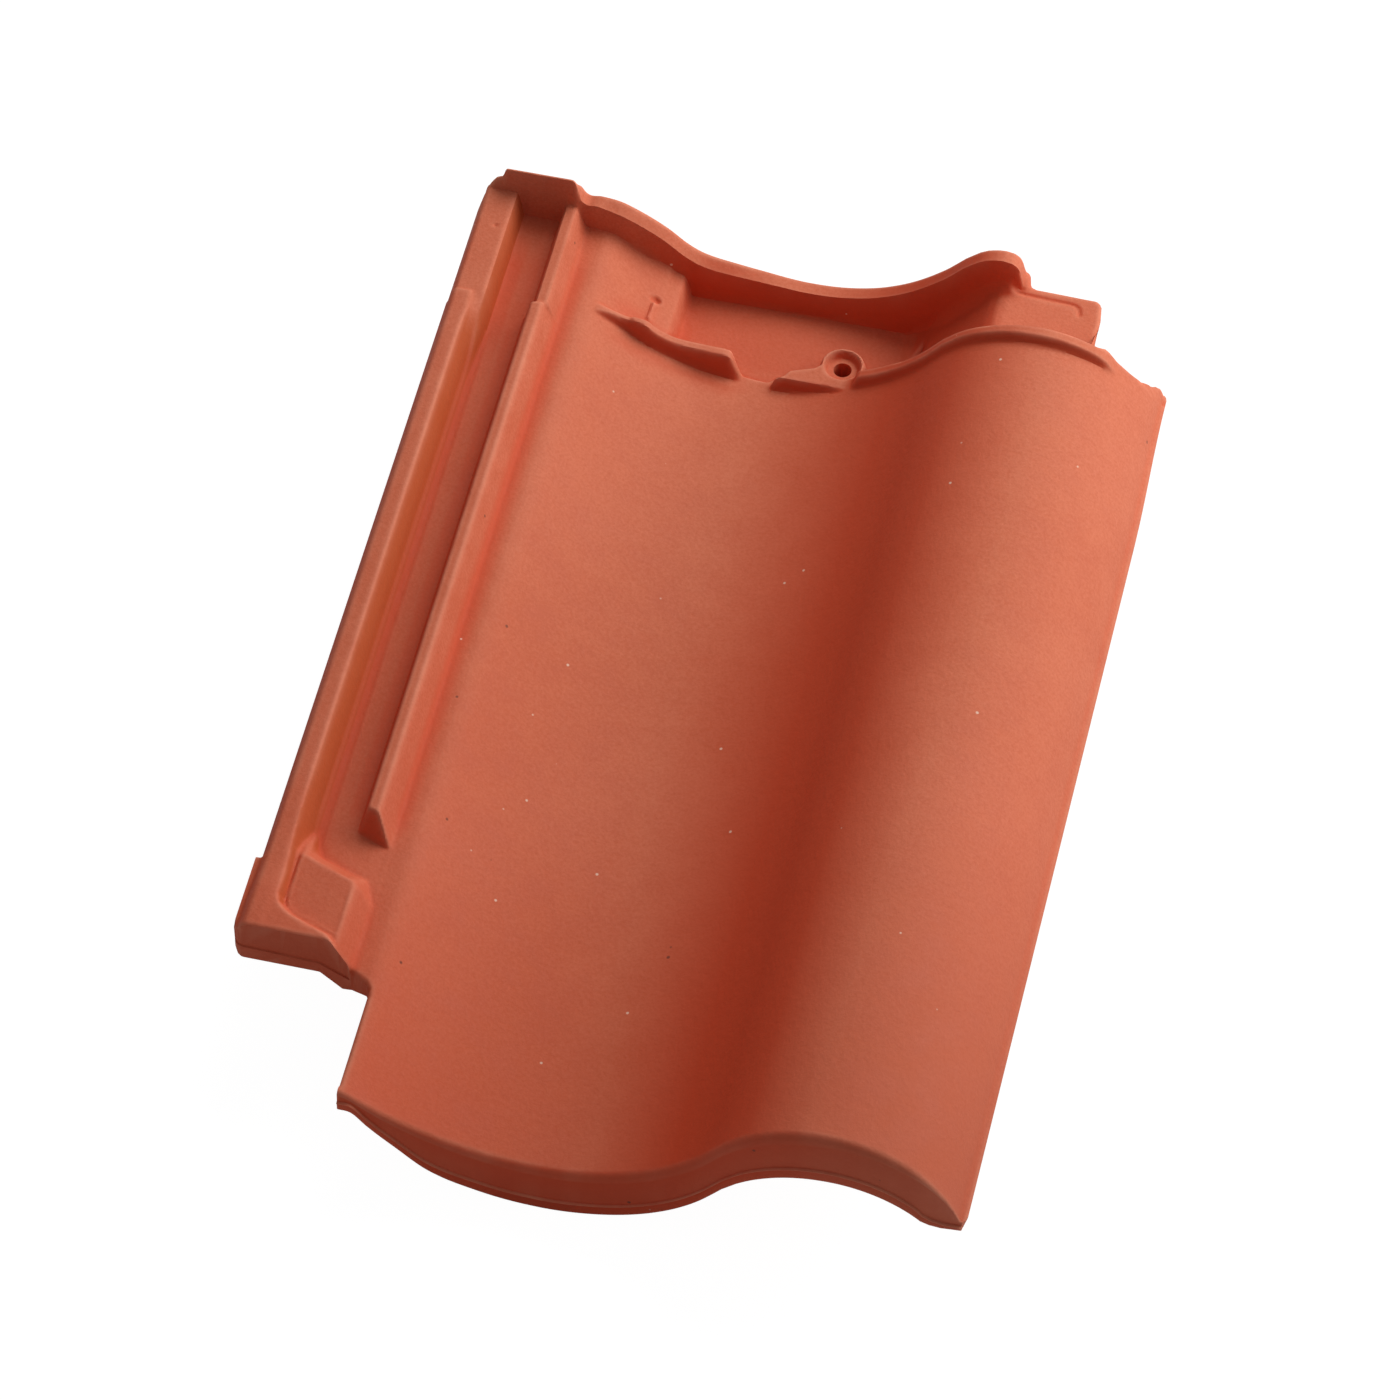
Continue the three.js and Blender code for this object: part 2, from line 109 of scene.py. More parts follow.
def mix(a, b, share):
    return a + (b - a) * share


def within(x, a, b, c, d):   # fades in from a to b and out from c to d
    return ramp(x, a, b) * (1 - ramp(x, c, d))


def along(x, points):        # straight between points
    return np.interp(x, [p[0] for p in points], [p[1] for p in points])


def curve(x, points):        # smooth through points
    px = np.array([p[0] for p in points], float)
    pz = np.array([p[1] for p in points], float)
    slopes = np.gradient(pz, px)
    k = np.clip(np.searchsorted(px, x) - 1, 0, len(px) - 2)
    width = px[k + 1] - px[k]
    t = np.clip((x - px[k]) / width, 0, 1)
    return ((2 * t ** 3 - 3 * t ** 2 + 1) * pz[k] + (t ** 3 - 2 * t ** 2 + t) * width * slopes[k]
            + (3 * t ** 2 - 2 * t ** 3) * pz[k + 1] + (t ** 3 - t ** 2) * width * slopes[k + 1])


def softMax(a, b, r):
    h = np.clip(0.5 + 0.5 * (a - b) / r, 0, 1)
    return mix(b, a, h) + r * h * (1 - h)


def softMin(a, b, r):
    return -softMax(-a, -b, r)


def lineDistance(x, y, points):          # distance to an open line
    nearest = np.full(np.shape(x), np.inf)
    for (ax, ay), (bx, by) in zip(points, points[1:]):
        square = (bx - ax) ** 2 + (by - ay) ** 2
        t = np.clip(((x - ax) * (bx - ax) + (y - ay) * (by - ay)) / square, 0, 1)
        nearest = np.minimum(nearest, np.hypot(x - mix(ax, bx, t), y - mix(ay, by, t)))
    return nearest


def planDistance(x, y, plan):            # distance to a closed outline, negative inside
    closed = plan + plan[:1]
    inside = np.zeros(np.shape(x), bool)
    for (ax, ay), (bx, by) in zip(closed, closed[1:]):
        if ay != by:
            inside ^= ((ay > y) != (by > y)) & (x < mix(ax, bx, (y - ay) / (by - ay)))
    nearest = lineDistance(x, y, closed)
    return np.where(inside, -nearest, nearest)


def waveHeight(x):           # the S of pan and roll
    x = np.maximum(x, body["creaseX"])

    def arc(cx, cz, radius, side):
        return cz + side * np.sqrt(np.maximum(radius ** 2 - (x - cx) ** 2, 0))

    panX, panLeftZ = body["panX"], body["panBottom"] + body["panLeftRadius"]
    panLeft = arc(panX, panLeftZ, body["panLeftRadius"], -1)
    panLeft = softMin(panLeft, body["shoulder"], body["shoulderBlend"])
    panRight = arc(panX, panArcZ, body["panRightRadius"], -1)
    rollLeft = arc(rollX, rollArcZ, body["rollLeftRadius"], 1)
    rollRight = arc(rollX, rollRightArcZ, body["rollRightRadius"], 1)
    lip = body["lipTop"] - body["lipSlope"] * (x - body["lipX"])
    rollRight = np.where(x > body["lipX"], lip, rollRight)
    return np.select([x <= panX, x <= tangentX, x <= rollX], [panLeft, panRight, rollLeft],
                     rollRight)


# ---- side lock ----
lock = {
    "flange": [(-52.6, 6.4), (-52.2, 8.6), (-51.2, 12.6), (-50.6, 14.2), (-49.9, 15.4),
               (-49.2, 16.3), (-48.4, 16.9), (-47.6, 17.2), (-43.6, 17.4), (-41.0, 17.2)],
    "floor": [(-42, 8.2), (-40, 7.8), (-38.2, 7.2), (-37.2, 6.7), (-36.7, 5.5), (-36.2, 5.4),
              (-24, 5.4), (-18, 4.9), (-12.1, 4.35), (-11.7, 4.7), (-11.3, 4.7), (-10.9, 4.3)],
    "rib": [(-23.4, 5.4), (-21.3, 15.0), (-20.9, 15.5), (-17.2, 15.7), (-16.6, 15.2), (-12.3, 5.0),
            (-11.7, 4.3)],
    "seat": [(-17.7, 14.1), (-17.0, 13.7), (-12.3, 5.0), (-11.6, 4.3)],
    "headHalf": [(-52.6, 6.4), (-52.2, 8.6), (-51.0, 12.6), (-50.4, 14.2), (-49.8, 15.1),
                 (-49.0, 15.9), (-48.0, 16.6), (-38.4, 16.6), (-37.6, 16.3), (-37.1, 15.3),
                 (-36.1, 7.6), (-35.7, 6.2), (-35.1, 5.6), (-33.6, 5.4), (-22.0, 5.4),
                 (-19.9, 14.0), (-19.5, 14.4), (-15.8, 14.6), (-15.3, 14.2), (-12.4, 5.0),
                 (-12.1, 4.35), (-11.7, 4.7), (-11.3, 4.7), (-10.9, 4.3)],
    "stepX": -30,            # the flange's step is left of this, the rib's step right of it
    "flangeStep": (332.3, 333.3),
    "flangeFall": 24.0,      # right of the flange the head half runs out gently
    "flangeFallX": (-42.4, -40.6),
    "ribStep": (334.1, 334.9),
    "ribFoot": (-23.3, 102.0),           # left foot of the rib's tail end
    "ribFootSkew": 0.36,
    "ribEndLean": 0.43,
    "seatRight": -17.4,
    "seatHead": 75.6,        # the seat's end where it meets its right side
    "seatSkew": 0.38,
    "seatBlend": 0.8,
    "seatDrop": 14.0,        # past its end the seat also drops away under the flange
    "seatDropX": (43, 47),   # counted to the left
    "seatDropY": (78.3, 82.5),
    "damFall": 8.7,
    "damRun": 7.4,
    "damCorner": (32.0, 36.8, 9.0),      # towards the flange its foot turns up the channel
    "damRight": (-21, -16, 3.0),         # towards the pan it runs out longer
    "padCorner": (-21.3, 73.4, 3.8, 1.25),       # centre, radius and fall of the round corner
    "rim": 1.3,              # the end's rim over the flange
    "rimY": (56, 78),
    "plateau": [(-70, 430), (-41.0, 430), (-41.0, 333), (-42.3, 317), (-42.3, 108), (-41.9, 90),
                (-40.9, 69), (-40.9, 63.5), (-39.9, 60), (-37.5, 57.4), (-34.4, 55.4),
                (-26.8, 52.4), (-21.1, 50.4), (-19.2, 48.8), (-18.6, 47), (-18.6, 20), (-70, 20)],
    "plateauSteep": (1.75, 2.6),         # its side at the tail end and along the channel
    "plateauSteepY": (78, 88),
    "plateauRight": (-21, -19, 0.5),     # and steeper at the right
    "plateauBlend": 0.5,
    "valley": [(-38.8, 92), (-38.9, 77), (-39.0, 67.7), (-38.7, 63.0), (-38.0, 61.0)],
    "valleyDepth": 0.7,
    "valleyFade": (0.1, 1.4),
    "valleyEnd": (84, 91),
    "rimLine": [(-37.6, 82.5), (-37.9, 77), (-38.0, 67.7), (-37.6, 63.6), (-36.6, 61.0),
                (-33.9, 59.1), (-28.2, 57.0), (-22.5, 55.0), (-18.4, 53.6), (-17.8, 57.9),
                (-17.9, 71)],            # the seat's edge is slightly raised
    "rimRise": 0.3,
    "rimFade": (0.15, 0.8),
    "creaseX": -34.9,        # a fine crease along the foot of the flange
    "creaseDepth": 0.45,
    "creaseFade": (0.05, 0.55),
    "creaseStart": (82, 86),
    "sideStep": 0.8,         # the outer side stands out near the tail end
    "sideStepY": (77.8, 80.8),
    "sideReach": 3,
}


def lockSeat(x, y):          # the raised seat with its pad, and the dam at its end
    beyond = np.maximum(y - lock["seatHead"] - lock["seatSkew"] * (lock["seatRight"] - x), 0)
    near, far, extra = lock["damCorner"]
    start, end, longer = lock["damRight"]
    run = lock["damRun"] + extra * ramp(-x, near, far) ** 2 + longer * ramp(x, start, end)
    drop = lock["seatDrop"] * ease(-x, *lock["seatDropX"]) * ease(y, *lock["seatDropY"])
    seat = along(x, lock["seat"]) - lock["damFall"] * beyond / run - drop
    cornerX, cornerY, radius, fall = lock["padCorner"]
    past = np.hypot(np.maximum(x - cornerX, 0), np.maximum(y - cornerY, 0)) - radius
    corner = along(x * 0 + cornerX, lock["seat"]) - fall * np.maximum(past, 0)
    return np.where((x > cornerX) & (y > cornerY), np.minimum(seat, corner), seat)


def lockLines(z, x, y):      # the fine valley, the raised edge and the crease
    valley = 1 - ease(lineDistance(x, y, lock["valley"]), *lock["valleyFade"])
    z = z - lock["valleyDepth"] * valley * (1 - ease(y, *lock["valleyEnd"]))
    z = z + lock["rimRise"] * (1 - ease(lineDistance(x, y, lock["rimLine"]), *lock["rimFade"]))
    crease = 1 - ease(abs(x - lock["creaseX"]), *lock["creaseFade"])
    return z - lock["creaseDepth"] * crease * ease(y, *lock["creaseStart"])


def lockHeight(x, y):
    floor = along(x, lock["floor"])
    z = softMax(floor, lockSeat(x, y), lock["seatBlend"])
    footX, footY = lock["ribFoot"]
    fromFoot = np.maximum(y - footY + lock["ribFootSkew"] * (x - footX), 0)
    z = np.maximum(z, np.minimum(along(x, lock["rib"]), floor + fromFoot / lock["ribEndLean"]))
    outside = np.maximum(planDistance(x, y, lock["plateau"]), 0)
    top = along(x, lock["flange"]) + lock["rim"] * (1 - ease(y, *lock["rimY"]))
    start, end, extra = lock["plateauRight"]
    steep = mix(*lock["plateauSteep"], ease(y, *lock["plateauSteepY"]))
    steep = steep + extra * ease(x, start, end)
    z = lockLines(softMax(z, top - steep * outside, lock["plateauBlend"]), x, y)
    start, end = lock["flangeStep"]
    start = start - lock["flangeFall"] * ramp(x, *lock["flangeFallX"])
    step = np.where(x < lock["stepX"], ramp(y, start, end), ramp(y, *lock["ribStep"]))
    return mix(z, along(x, lock["headHalf"]), step)


# ---- head ----
head = {
    "recess": [(10, -0.6), (19.5, -10.5), (22.5, -11.85), (24.2, -12.7), (24.9, -14.6),
               (26.0, -20.6), (26.8, -22.2), (28.5, -22.4), (105.5, -22.4), (110.5, -20.4),
               (114.0, -17.6), (137.0, 9.6), (140.0, 11.8), (143.0, 12.2), (210.0, 12.2)],
    "recessX": 19.5,         # left of this the pan goes on, a little lower before the wall
    "lowerX": (-2, 10),
    "lowerY": (372, 381),
    "rollEnd": [(26, 348.9), (49, 348.8), (53.6, 345.8), (63, 345.4), (66, 348.6), (100, 349.6),
                (112, 349.2), (150, 348.6), (181, 348.1), (181.5, 370)],
    "rollEndFade": (0.9, 0.7),           # before and behind that line
    "crest": [(-18, 26.6), (-17.4, 26.5), (-16.9, 26.0), (-14.2, 16.6), (-13.4, 15.8),
              (-7.9, 15.6), (-0.1, 14.2), (4.7, 11.9), (9.4, 9.2), (16.7, 4.1), (23.6, -2.0),
              (28.3, -5.0), (33.6, -6.8), (40.5, -8.1), (51, -9.8), (68, -11.9), (84, -10.7),
              (96, -7.1), (108, -0.3), (118, 8.2), (129.4, 20.4), (133, 22.8), (137, 24.1)],
    "crestEnd": [(137, 24.1), (140, 24.4), (143.0, 23.7), (144.9, 22.2), (145.8, 20.6),
                 (146.6, 17.6), (147.4, 12.2)],
    "crestX": (-18, 137),    # left of these is the lock's wall, right of them the crest's end
    "crestFront": 381.8,
    "crestY": 376,
    "crestLean": 1.8,        # left of the middle the crest slopes to its front
    "leanX": (-10, -2, 36, 60),
    "leanRun": 4.6,
    "faceSlope": 0.05,
    "ledge": (148.8, 14.6),  # a low step behind the crest's right end
    "ledgeX": 140,
    "ledgeDrop": 40,
    "ledgeFront": 2.4,
    "ledgeY": (381, 385),
    "fillet": (112.0, 124.0),            # from here to the right the crest's foot is a wide hollow
    "filletEnd": (143.5, 146.5),
    "filletRun": 5.0,
    "filletGap": 0.5,
    "filletShare": 0.42,
    "filletPower": 2.2,
    "filletY": 374,
    "wallTop": [(-56, 16.3), (-48.4, 16.4), (-47.6, 17.6), (-45.7, 20.9), (-45.0, 21.4),
                (-43.6, 21.7), (-43.0, 22.6), (-42.5, 26.0), (-41.8, 26.6), (-18, 26.6)],
    "wallRight": -17.4,
    "wallRun": 3.4,
    "wallFront": 382.4,
    "wallRidge": 383.4,
    "wallBack": 16.0,
}


def headRecess(z, x, y):
    end = along(x, head["rollEnd"])
    before, behind = head["rollEndFade"]
    lowered = z - ramp(x, *head["lowerX"]) * (1 - ramp(y, *head["lowerY"]))
    floor = np.where(x < head["recessX"], lowered, along(x, head["recess"]))
    return np.where(x > body["creaseX"], mix(z, floor, ramp(y, end - before, end + behind)), z)


def headCrest(z, x, y):
    onWall = 1 - ramp(x, head["wallRight"], head["wallRight"] + head["wallRun"])
    left, right = head["crestX"]
    crest = np.select([x < left, x < right], [along(x, head["wallTop"]), curve(x, head["crest"])],
                      along(x, head["crestEnd"]))
    back = ramp(y, head["wallRidge"], body["head"]) * onWall
    crest = mix(crest, np.minimum(crest, head["wallBack"]), back)
    front = mix(head["crestFront"], head["wallFront"], onWall)
    ledgeX, ledgeZ = head["ledge"]
    ledge = (ledgeZ - head["ledgeDrop"] * ramp(x, ledgeX, ledgeX + 1)
             - head["ledgeFront"] * (1 - ramp(y, *head["ledgeY"])))
    crest = np.where(x > head["ledgeX"], np.maximum(crest, ledge), crest)
    leaning = within(x, *head["leanX"]) * (1 - ramp(y, front, front + head["leanRun"]))
    crest = crest - head["crestLean"] * leaning
    face = crest - np.maximum(front - y, 0) / head["faceSlope"]
    hollow = ease(x, *head["fillet"]) * (1 - ramp(x, *head["filletEnd"]))
    near = np.clip(1 - (front - head["filletGap"] - y) / head["filletRun"], 0, 1)
    rise = np.maximum(crest - z, 0)
    foot = z + hollow * rise * head["filletShare"] * near ** head["filletPower"]
    z = np.where(y > head["filletY"], foot, z)
    return np.where(y > head["crestY"], np.maximum(z, face), z)


# ---- weather rib with the nail seat ----
rib = {
    "foot": [(-0.8, 344.6), (8.5, 345.1), (12.3, 344.7), (16, 344.0), (20.7, 343.3), (31, 342.9),
             (38.5, 342.5), (54, 342.3), (64, 342.6), (96, 343.4), (130, 343.2), (160, 342.0),
             (187, 341.4)],
    "rise": [(-1.0, 0.0), (2.5, 2.0), (5.8, 2.9), (8.7, 3.6), (12.0, 4.8), (12.8, 6.0), (15.3, 7.1),
             (17.6, 7.8), (18.6, 7.6), (20.4, 6.9), (23.3, 6.0), (26.3, 5.8), (29.2, 6.0),
             (33.6, 6.9), (38, 8.0), (42.4, 8.8), (46, 9.5), (49, 9.4), (60, 4.2), (96, 4.0),
             (120, 3.6), (150, 3.4), (175, 3.0), (181, 2.9), (184, 2.5), (186, 1.4), (188, 0.0)],
    "draft": [(0, 0.8), (12, 1.2), (30, 1.8), (54, 1.8), (64, 1.3)],
    "back": (348.2, 349.6),  # behind this the pan's own surface goes on, left of the recess
    "backX": 24,
    "gap": (49.0, 53.6, 65.0, 68.2),
    "platform": (64, 66, 93.6, 95.2),    # here the nail's platform takes its place
}
nail = {
    "x": 88.2,
    "y": 354.1,
    "bore": 3.25,
    "boreSides": 56,
    "seat": 5.8,
    "seatDepth": 3.0,
    "seatSteep": 5,
    "seatEdge": 1.5,
    "boss": 7.8,
    "top": -14.0,
    "platform": [(65.6, 343.0), (68.4, 344.4), (70.3, 347.6), (78.8, 350.9), (82.0, 354.4),
                 (88, 356), (95.0, 352.0), (94.4, 346.0), (92.6, 342.9), (90.6, 342.7),
                 (84.0, 343.2)],
    "platformSteep": 4.5,
    "platformX": (60, 100),
}


def weatherRib(z, x, y):
    foot = along(x, rib["foot"])
    rise = along(x, rib["rise"]) * (1 - within(x, *rib["gap"])) * (1 - within(x, *rib["platform"]))
    up = ramp(y, foot, foot + along(x, rib["draft"]))
    down = np.where(x < rib["backX"], 1 - ramp(y, *rib["back"]), 1)
    return z + rise * up * down


def nailPlatform(z, x, y):
    r = np.hypot(x - nail["x"], y - nail["y"])
    outside = np.maximum(np.minimum(planDistance(x, y, nail["platform"]), r - nail["boss"]), 0)
    left, right = nail["platformX"]
    top = nail["top"] - outside * nail["platformSteep"]
    z = np.where((x > left) & (x < right), np.maximum(z, top), z)
    seat = nail["top"] - nail["seatDepth"] + np.maximum(r - nail["seat"], 0) * nail["seatSteep"]
    return np.where(r < nail["seat"] + nail["seatEdge"], np.minimum(z, seat), z)


# ---- small marks of the mould ----
marks = {                    # kind, place, rise, and the distances between which it fades
    "leftBar": ("line", [(16.7, 355.0), (17.0, 362.4)], 1.4, (0.2, 1.1)),
    "leftPocket": ("oval", (17.0, 364.8, 0.8), -1.6, (0.5, 1.9)),
    "rightBar": ("line", [(110.2, 359.9), (110.8, 363.6)], 1.6, (0.3, 1.3)),
    "rightPocket": ("plan", [(109.4, 361.4), (111.6, 362.6), (114.4, 366.0), (114.4, 374.0)],
                    -2.6, (-0.6, 0.8)),
    "dot": ("oval", (-41.7, 364.7, 1.0), -0.8, (0.3, 0.9)),
    "groove": ("line", [(143.7, 380.4), (145.6, 379.7), (150.5, 379.1), (161.4, 378.6),
                        (166.6, 378.3), (168.6, 376.9), (169.4, 373.7)], -0.7, (0.15, 0.75)),
}


def mouldMarks(z, x, y):
    for kind, place, rise, fade in marks.values():
        if kind == "oval":
            px, py, squash = place
            away = np.hypot((x - px) * squash, y - py)
        elif kind == "line":
            away = lineDistance(x, y, place)
        else:
            away = planDistance(x, y, place)
        z = z + rise * (1 - ease(away, *fade))
    return z


# ---- outline seen from above ----
outline = {
    "notch": [(-4.2, -20.0), (-4.2, 39.5), (-4.7, 42.0), (-6.0, 43.6), (-8.1, 44.8), (-11.9, 47.0),
              (-16.0, 47.5), (-49.6, 47.6), (-51.2, 48.1), (-52.3, 49.2), (-52.8, 51.0),
              (-70.0, 51.0), (-70.0, -20.0)],
    "headRight": [(149.0, 410.0), (149.0, 388.0), (149.8, 384.6), (150.3, 383.6), (152.0, 382.8),
                  (174.0, 382.3), (175.4, 381.4), (176.3, 379.8), (177.0, 374.6), (177.2, 363.2),
                  (178.0, 352.0), (178.6, 349.3), (180.0, 348.6), (188.0, 347.8), (192.6, 347.2),
                  (196.3, 347.8), (199.1, 349.8), (200.4, 351.4), (202.2, 354.6), (203.3, 356.2),
                  (204.2, 356.5), (204.9, 355.9), (205.4, 354.2), (205.6, 351.5), (220.0, 351.5),
                  (220.0, 410.0)],
    "tailRight": [(204.2, -2.6), (205.3, -1.2), (206.1, 0.3), (206.6, 1.8), (206.8, 3.4),
                  (220.0, 3.4), (220.0, -20.0), (204.2, -20.0)],
    "headLeft": [(-60.0, 379.0), (-51.2, 379.4), (-50.2, 380.6), (-49.7, 382.0), (-48.8, 383.9),
                 (-47.9, 384.6), (-47.4, 385.4), (-47.0, 386.8), (-46.2, 387.7), (-45.0, 388.4),
                 (-45.0, 410.0), (-60.0, 410.0)],
}
tailWall = {                 # above its parting line the lock's tail wall stands back a little
    "plan": [(-12.6, 30.0), (-12.6, 47.3), (-13.6, 47.9), (-16.0, 48.1), (-23.4, 48.2),
             (-36.0, 48.2), (-49.4, 48.2), (-51.0, 48.6), (-52.2, 50.0), (-70.0, 50.0),
             (-70.0, 30.0)],
    "parting": [(-70, 5.6), (-52, 5.6), (-23.4, 4.5), (-20.7, 2.4), (-14.3, -1.3), (-12.6, -1.5)],
}
cutBottom, cutTop = -90, 80  # cuts reach from well below the tile to well above it


def upperRaw(x, y):
    z = np.where(x < body["creaseX"], lockHeight(x, y), waveHeight(x))
    for shape in (weatherRib, headRecess, nailPlatform, headCrest, mouldMarks):
        z = shape(z, x, y)
    return z


def roundDrop(inner, r):     # how far a rounded edge falls, by the distance from it
    inward = np.clip(inner, 0, r)
    return r - np.sqrt(np.maximum(r ** 2 - (r - inward) ** 2, 0))


def upper(x, y):             # softened by a small average
    total, weights = 0, 0
    r = body["rounding"]
    for dx, dy, weight in [(0, 0, 4), (r, 0, 2), (-r, 0, 2), (0, r, 2), (0, -r, 2),
                           (r, r, 1), (-r, r, 1), (r, -r, 1), (-r, -r, 1)]:
        total = total + weight * upperRaw(x + dx, y + dy)
        weights += weight
    drop = roundDrop(np.minimum(body["right"] - x, body["head"] - y), body["edgeRound"])
    for name, plan in outline.items():
        radius = body["wallRound" if name == "notch" else "edgeRound"]
        drop = np.maximum(drop, roundDrop(planDistance(x, y, plan), radius))
    return total / weights - drop


# ---- tail nose and underside ----
nose = {
    "under": [(-60, -5.4), (-4, -5.4), (0.6, -6.2), (5.1, -11.8), (15, -21.9), (24.9, -31.2),
              (31, -34.6), (40, -37.6), (50, -39.9), (58, -40.8), (64, -41.0)],
    "depth": 21.6,
    "deeper": (75.0, 125.0, 1.5),        # under the roll it hangs this much more
    "foot": [(160, -6.0), (194, -5.7), (200, -6.4), (203.3, -5.9), (206.7, -5.6)],
    "lowerEdge": [(-0.2, 0.0), (-1.0, 0.25), (-1.5, 0.8), (-1.6, 1.6)],      # y, above the bottom
    "lowerLean": 8,
    "part": [(-4, 4.6), (4, 5.2), (12, 5.0), (40, 6.0), (130, 6.2), (180, 5.8), (190, 5.4),
             (194, 4.2), (207, 2.6)],
    "partBead": [(-1.55, -0.5), (-1.7, -0.3), (-2.0, -0.1), (-2.0, 0.15), (-1.6, 0.35),
                 (-1.1, 0.5)],           # y, above the parting line
    "partShare": 0.6,
    "partClear": 1.2,        # the round edge ends this much above the parting line
    "face": -0.9,            # y of the face above the parting line
    "round": [(-4, 1.8), (20, 2.8), (64, 3.4), (150, 4.2), (185, 3.0), (204, 1.0), (207, 0.6)],
    "roundSteps": 10,
    "roundLeast": 0.4,
    "roundShorter": (2.8, 4.2, 0.2),     # the widest rounds reach less far along the tile
    "length": 15.0,
    "blend": 12.0,
}
under = {
    "lock": [(-52.6, 6.0), (-52, 5.8), (-45.5, 5.8), (-42, -2.5), (-21, -2.5), (-14, -6.7),
             (-4, -6.8), (8, -16.2)],
    "lockX": 8,
    "lockY": (30, 42),
    "endWall": [(-52.6, 4.4), (-52.2, 2.6), (-51.4, 0.6), (-50.2, -0.3), (-49, -0.4), (-23, -0.4),
                (-18.3, -5.0), (-15.5, -7.8), (-11.6, -6.7), (-6, -3.6), (-4, -5.0), (8, -16.2)],
    "endWallRun": (62.0, 72.0),
    "headThickness": 10.0,
    "headX": (19.5, 180),
    "headY": (341.0, 342.0),
    "lipGap": 0.3,           # the slope at the lip is measured this much before it
    "slopeStep": 0.2,
    "footShift": 0.14,
    "headShift": (175.0, 0.8),
    "leastThickness": 1.5,
}


def noseUnder(x):
    a, b, more = nose["deeper"]
    z = waveHeight(x) - nose["depth"] - more * ease(x, a, b)
    left = curve(np.minimum(x, body["panX"]), nose["under"])
    z = np.where(x < body["panX"], left, np.maximum(z, body["nosetip"]))
    return np.where(x > rollX, np.maximum(z, along(x, nose["foot"])), z)


def lower(x, y):
    z = waveHeight(np.minimum(x, body["lipX"]))
    before, step = np.minimum(x, body["lipX"] - under["lipGap"]), under["slopeStep"]
    slope = (waveHeight(before + step) - waveHeight(before - step)) / (2 * step)
    size = np.sqrt(1 + slope ** 2)
    overPan = x < body["panX"]
    thickness = body["thickness"]
    shellZ = np.where(overPan, z - thickness * size, z - thickness / size)
    shellX = np.where(overPan, 0, -thickness * slope / size)
    noseShare = 1 - ease(y, nose["length"], nose["length"] + nose["blend"])
    headShare = ramp(y, *under["headY"])
    result = mix(shellZ, noseUnder(x), noseShare)
    foot = mix(body["footZ"], along(x, nose["foot"]), noseShare)
    result = np.where(x > rollX, np.maximum(result, foot), result)
    shift = mix(shellX, np.where(x > rollX, under["footShift"] * shellX, 0), noseShare)
    endShare = ease(y, *under["endWallRun"])
    lockBase = mix(along(x, under["endWall"]), along(x, under["lock"]), endShare)
    start, end = under["lockY"]
    underLock = (x < under["lockX"]) & (y > start)
    result = np.where(underLock, mix(result, lockBase, ease(y, start, end)), result)
    left, right = under["headX"]
    deep = np.minimum(result, along(x, head["recess"]) - under["headThickness"])
    result = np.where((x > left) & (x <= right), mix(result, deep, headShare), result)
    start, share = under["headShift"]
    limited = np.minimum(shift, np.maximum(0, x - start) * share)
    return x - mix(shift, limited, headShare), result


grid = {                     # steps: the widest, the finest, and the growth away from a feature
    "xSteps": (5.0, 0.6, 0.45),
    "xFeatures": [-52.6, -51, -49.8, -48.5, -42.6, -41, -38.5, -37.2, -36.6, -36.0, -35.4, -34.9,
                  -34.4, -33.6, -23.4, -22, -21, -19.6, -17, -15.6, -12.2, -11.5, -4.2, -2, 12, 13,
                  15.8, 16.7, 17.8, 20, 24, 25.2, 26, 26.6, 49, 51, 53, 65, 69, 79, 82, 84.5, 88,
                  91.5, 94.5, 96.5, 108, 110, 112, 114.5, 137, 143, 145.5, 147, 148.5, 167, 169,
                  175, 178, 186, 204.6, 206.7],
    "yStart": 3.0,
    "ySteps": (10.0, 0.5, 0.45),
    "yFeatures": [40, 44, 47.5, 50, 54, 57, 60, 64, 76, 78, 82, 86, 90, 98, 100, 102, 104, 325,
                  328, 332.8, 334.5, 343, 344.5, 346, 348.5, 350, 353.5, 357.5, 360.5, 363, 364.8,
                  372, 378.7, 380, 381.8, 382.4, 383, 384.5, 386.5, 388],
    "underStart": 1.2,
    "underSteps": (16.0, 1.5, 0.8),
    "underFeatures": [2, 15, 27, 42, 62, 72, 77.8, 80.8, 341, 342.5, 388],
}


def stations(start, end, steps, features):
    widest, finest, growth = steps
    values = [start]
    while values[-1] < end:
        gap = min(abs(values[-1] - f) for f in features)
        values.append(values[-1] + min(widest, max(finest, gap * growth)))
    values[-1] = end
    return np.array(values)


def noseRows(xs):            # the tail's end, from its lower edge up to the weather side
    top, bottom = waveHeight(xs), noseUnder(xs)
    bottomX = lower(xs, 0 * xs)[0]
    part = along(xs, nose["part"])
    rows = []
    for y, rise in nose["lowerEdge"]:
        rows.append((mix(bottomX, xs, np.clip(rise / nose["lowerLean"], 0, 1)), y, bottom + rise))
    for y, offset in nose["partBead"]:
        rows.append((mix(bottomX, xs, nose["partShare"]), y, bottom + part + offset))
    r = along(xs, nose["round"])
    room = np.maximum(top - bottom - part - nose["partClear"], nose["roundLeast"])
    start, end, share = nose["roundShorter"]
    for i in range(nose["roundSteps"] + 1):
        angle = i / nose["roundSteps"] * math.pi / 2
        y = nose["face"] + r * (1 - math.cos(angle)) * (1 - share * ramp(r, start, end))
        drop = np.minimum(r * (1 - math.sin(angle)), room * (1 - math.sin(angle)))
        rows.append((xs, y, top - drop))
    return rows


